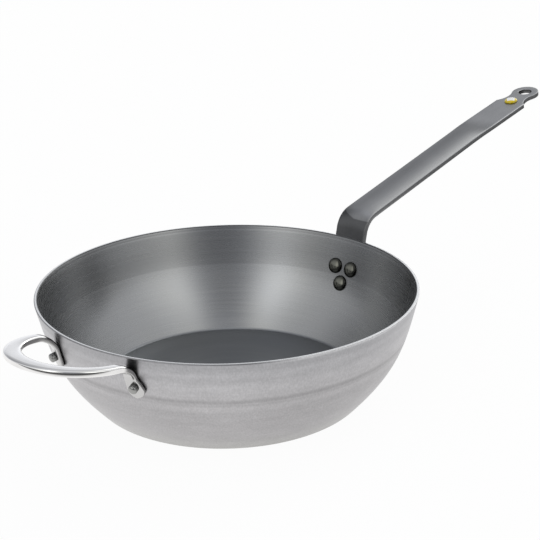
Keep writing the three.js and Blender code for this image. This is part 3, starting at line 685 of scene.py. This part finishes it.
place_section(face, *loop_stations[0])
for place, shade_share in loop_stations[1:]:
    made = bmesh.ops.extrude_face_region(bm, geom=[face])["geom"]
    bmesh.ops.delete(bm, geom=[face], context="FACES_ONLY")
    face = next(g for g in made if isinstance(g, bmesh.types.BMFace))
    place_section(face, place, shade_share)
bmesh.ops.delete(bm, geom=[face], context="FACES_ONLY")
lug_mouth = [e for e in bm.edges if e.is_boundary and e.verts[0].co.z < lug_top]
bmesh.ops.contextual_create(bm, geom=lug_mouth)
bmesh.ops.mirror(bm, geom=all_of(bm), axis="Y", merge_dist=1e-5)
bmesh.ops.remove_doubles(bm, verts=bm.verts, dist=1e-6)
bmesh.ops.recalc_face_normals(bm, faces=bm.faces)
for vert in bm.verts:
    vert.co.y += LOOP_LEAN * max(-vert.co.x - RIM_RADIUS, 0) / LOOP_REACH
bmesh.ops.rotate(bm, verts=bm.verts, cent=(0, 0, 0), matrix=Matrix.Rotation(HELPER_TURN, 3, "Z"))


def polished_finish():
    material, tree, surface, place = blank_material("helper_polish")
    clouds = noise(tree, place, 60.0, 3.0)
    colour = shade(tree, clouds, ((NOISE_LOW, (0.8, 0.79, 0.78)), (NOISE_HIGH, (0.88, 0.87, 0.865))))
    painted_shade = add(tree, "ShaderNodeAttribute", attribute_name="painted_shade").outputs["Fac"]
    polish = spread_to(tree, clouds, 0.05, 0.1)
    rough = add(tree, "ShaderNodeMapRange", {"Value": painted_shade, "To Min": polish, "To Max": 0.4})
    # Painted shade: the marked parts are mixed towards near black and made rougher.
    colour = mixed(tree, "MIX", painted_shade, colour, (0.025, 0.025, 0.025, 1))
    dress(tree, surface, colour, rough.outputs["Result"])
    return material


finish_piece("helper_loop", bm, [polished_finish()], "polished_steel", "helper_handle")


# Helper rivets: two dull steel rivets through the lugs. Their heads are domed inside the pan and their cut
# ends stand out of the lugs as short rounded stubs.
STUB_RADIUS, STUB_LENGTH, STUB_DOME, STUB_SHANK = 0.0036, 0.0046, 0.002, 0.003

dull = rivet_finish("rivet_dull", 0.1, (0.26, 0.26, 0.255), (0.36, 0.36, 0.35), 0.2)
stub = [Vector((STUB_RADIUS, 0, 0)), *dome(STUB_RADIUS, STUB_DOME, 8, STUB_LENGTH - STUB_DOME)]
helper_middle = math.pi + HELPER_TURN
for name, azimuth in (("helper_rivet_left", helper_middle - HELPER_SPREAD),
                      ("helper_rivet_right", helper_middle + HELPER_SPREAD)):
    bm = rivet(head_seat, STUB_SHANK, LUG + 2 * GAP, stub, wall_frame(azimuth, HELPER_RIVET_HEIGHT))
    finish_piece(name.replace("helper_rivet", "helper_rivet_stub"), bm, [dull], "rivet_steel", name)


# Button: a domed yellow resin button on a short stem, set into the handle's flat end next to the eye. A plain
# pale square is set into its top.
BUTTON_RADIUS, BUTTON_DOME, BUTTON_STEM, BUTTON_BACK = 0.0068, 0.003, 0.0025, 0.0272
INLAY, INLAY_TURN, INLAY_ROUNDING, INLAY_BLUR = 0.58, math.radians(30), 0.12, 0.02

bm = bmesh.new()
line = [Vector((0, 0, -BAR)), Vector((BUTTON_STEM, 0, -BAR)), Vector((BUTTON_STEM, 0, GAP)),
        *dome(BUTTON_RADIUS, BUTTON_DOME, 16, GAP)]
line[-1].x = 0
chain(bm, line)
turn_full(bm, 64)
plan_layer = bm.loops.layers.uv.new("plan")
for face in bm.faces:
    for face_corner in face.loops:
        turned = Matrix.Rotation(-INLAY_TURN, 2) @ face_corner.vert.co.xy
        face_corner[plan_layer].uv = turned / BUTTON_RADIUS
end_frame = Matrix.Translation(EYE) @ Matrix.Rotation(-END_RISE, 4, "Y")
bmesh.ops.transform(bm, matrix=end_frame @ Matrix.Translation((-BUTTON_BACK, 0, 0)), verts=bm.verts)


def button_finish():
    material, tree, surface, place = blank_material("button_resin", metallic=0.0)
    clouds = noise(tree, place, 200.0, 2.0)
    gold = shade(tree, clouds, ((NOISE_LOW, (0.68, 0.5, 0.0)), (NOISE_HIGH, (0.74, 0.56, 0.0))))
    plan = add(tree, "ShaderNodeUVMap", uv_map="plan").outputs["UV"]
    sides = add(tree, "ShaderNodeVectorMath", {0: plan}, operation="ABSOLUTE").outputs[0]
    sides = add(tree, "ShaderNodeSeparateXYZ", {"Vector": sides}).outputs
    reach = calculate(tree, "SMOOTH_MAX", sides["X"], sides["Y"], INLAY_ROUNDING)
    beyond = share_between(tree, reach, INLAY - INLAY_BLUR, INLAY + INLAY_BLUR)
    colour = mixed(tree, "MIX", beyond, (0.93, 0.93, 0.92, 1), gold)
    # The dome is painted darker towards its foot: painted shade where it sits on the bar.
    from_pole = add(tree, "ShaderNodeVectorMath", {0: plan}, operation="LENGTH").outputs["Value"]
    colour = times(tree, colour, shade(tree, from_pole, ((0.86, 1.0), (1.0, 0.55))))
    dress(tree, surface, colour, spread_to(tree, clouds, 0.14, 0.2))
    surface.inputs["Coat Weight"].default_value = 0.15
    return material


finish_piece("button_dome", bm, [button_finish()], "button_resin", "handle_button")


# Studio: a white floor in front of plain white, lit by a soft world and by the floor's own glow. The floor
# glows white where the camera or metal sees it, and the glow that metal reflects is painted darker beyond a
# table's front and right edges. The world is a ring of brighter and darker directions, as panels round a
# table give. The camera looks down on the pan from beside the helper.
PITCH, ROLL, TURN = math.radians(20.418), math.radians(-1.0074), math.radians(46.43)
FLOOR_HALF, FLOOR_DROP, FLOOR_GLOW = 6, 0.0002, 0.95
TABLE_HALF = 0.5
SKY_TOP, TOP_LIGHT, BACK_GAIN = 2.3, 0.75, 1.75
WHITE = (1, 1, 1, 1)

into = Vector((math.sin(TURN), math.cos(TURN), 0))
right = Vector((math.cos(TURN), -math.sin(TURN), 0))
ahead = into * math.cos(PITCH) - Vector((0, 0, math.sin(PITCH)))
down = ahead.cross(right)
image_right = right * math.cos(ROLL) - down * math.sin(ROLL)
image_down = right * math.sin(ROLL) + down * math.cos(ROLL)
camera = bpy.data.objects.new("camera", bpy.data.cameras.new("camera"))
camera.data.lens = 80
camera.data.sensor_width = 36
camera.data.clip_start, camera.data.clip_end = 0.01, 50
camera.matrix_world = Matrix((image_right, -image_down, -ahead)).transposed().to_4x4()
camera.location = (-0.65476, -0.67233, 0.45359)
bpy.context.scene.collection.objects.link(camera)
bpy.context.scene.camera = camera

floor_mesh = bpy.data.meshes.new("floor")
bm = bmesh.new()
bmesh.ops.create_grid(bm, x_segments=4, y_segments=4, size=FLOOR_HALF)
bmesh.ops.translate(bm, verts=bm.verts, vec=(0, 0, -FLOOR_DROP))
bm.to_mesh(floor_mesh)
bm.free()
floor = bpy.data.objects.new("floor", floor_mesh)
bpy.context.scene.collection.objects.link(floor)

floor_white = bpy.data.materials.new("floor_white")
floor_white.use_nodes = True
floor_white.cycles.emission_sampling = "NONE"
tree = floor_white.node_tree
tree.nodes.clear()
floor_place = add(tree, "ShaderNodeTexCoord").outputs["Object"]
# The table: painted light in the floor's glow, darker in front of it and far to its right, seen only in
# reflections.
depth = share_between(tree, dot(tree, floor_place, into), -TABLE_HALF, TABLE_HALF)
table = times(tree, shade(tree, depth, ((0.02, 0.05), (0.2, 1.0))),
              shade(tree, dot(tree, floor_place, right), ((0.0, 1.0), (0.05, 0.93), (0.2, 0.91), (0.25, 1.0),
                                                          (0.34, 1.0), (0.5, 0.28))))
rays = add(tree, "ShaderNodeLightPath").outputs
table = mixed(tree, "MIX", rays["Is Camera Ray"], table, WHITE)
seen = calculate(tree, "MAXIMUM", rays["Is Camera Ray"], rays["Is Glossy Ray"])
seen = calculate(tree, "MAXIMUM", seen, rays["Is Transmission Ray"])
paint = add(tree, "ShaderNodeBsdfDiffuse", {"Color": (0.95, 0.95, 0.95, 1)})
glow = add(tree, "ShaderNodeEmission", {"Color": table, "Strength": 1.0})
blend = add(tree, "ShaderNodeMixShader", {0: calculate(tree, "MULTIPLY", seen, FLOOR_GLOW),
                                          1: paint.outputs[0], 2: glow.outputs[0]})
add(tree, "ShaderNodeOutputMaterial", {"Surface": blend.outputs[0]})
floor_mesh.materials.append(floor_white)


def at_turns(*stops):
    """Turns in degrees, from behind the camera and to its right, as shares of a full ring."""
    return [(0.5 + degrees / 360, light / SKY_TOP) for degrees, light in stops]


world = bpy.data.worlds.new("studio")
bpy.context.scene.world = world
world.use_nodes = True
tree = world.node_tree
tree.nodes.clear()
toward = add(tree, "ShaderNodeTexCoord").outputs["Generated"]
climb = add(tree, "ShaderNodeSeparateXYZ", {"Vector": toward}).outputs["Z"]
back = dot(tree, toward, into)
ring_turn = calculate(tree, "ARCTAN2", dot(tree, toward, right), calculate(tree, "MULTIPLY", back, -1.0))
ring = share_between(tree, ring_turn, -math.pi, math.pi)
room = shade(tree, ring, at_turns(
    (-180, 0.6), (-160, 0.56), (-140, 0.38), (-115, 0.38), (-104, 0.56), (-88, 0.76), (-67, 0.84),
    (-56, 1.03), (-47, 1.32), (-37, 1.8), (-29, 1.7), (-20, 1.0), (-10, 0.45), (-3, 0.37), (10, 0.37),
    (19, 0.46), (28, 0.95), (37, 1.58), (47, 1.34), (64, 1.05), (78, 0.85), (90, 0.84), (105, 0.84),
    (115, 0.78), (124, 0.8), (133, 2.1), (148, 2.2), (154, 1.8), (160, 1.2), (166, 0.9), (174, 0.65)))
tint = shade(tree, room, ((0.35 / SKY_TOP, (0.962, 0.985, 1.045)), (1.2 / SKY_TOP, (1.0, 1.008, 0.995))))
room = times(tree, room, (SKY_TOP, SKY_TOP, SKY_TOP, 1))
low_front = shade(tree, climb, ((0.03, 0.6), (0.09, 0.76), (0.2, 0.76), (0.28, 1.0), (0.7, 1.0),
                                (0.82, 0.86)))
low_back = shade(tree, climb, ((0.2, 1.0), (0.26, 0.8), (0.36, 0.74), (0.42, 0.55), (0.6, 0.53)))
low_back = times(tree, low_back, (BACK_GAIN, BACK_GAIN, BACK_GAIN, 1))
behind_pan = share_between(tree, back, 0.0, 0.6)
room = times(tree, room, mixed(tree, "MIX", behind_pan, low_front, low_back))
overhead = shade(tree, climb, ((0.8, 0.0), (0.93, 1.0)))
sky = mixed(tree, "MIX", overhead, room, (TOP_LIGHT, TOP_LIGHT, TOP_LIGHT, 1))
sky = times(tree, sky, tint)
rays = add(tree, "ShaderNodeLightPath").outputs
sky = mixed(tree, "MIX", rays["Is Camera Ray"], sky, WHITE)
light = add(tree, "ShaderNodeBackground", {"Color": sky, "Strength": 1.0})
add(tree, "ShaderNodeOutputWorld", {"Surface": light.outputs[0]})

bpy.context.scene.view_settings.view_transform = "Standard"
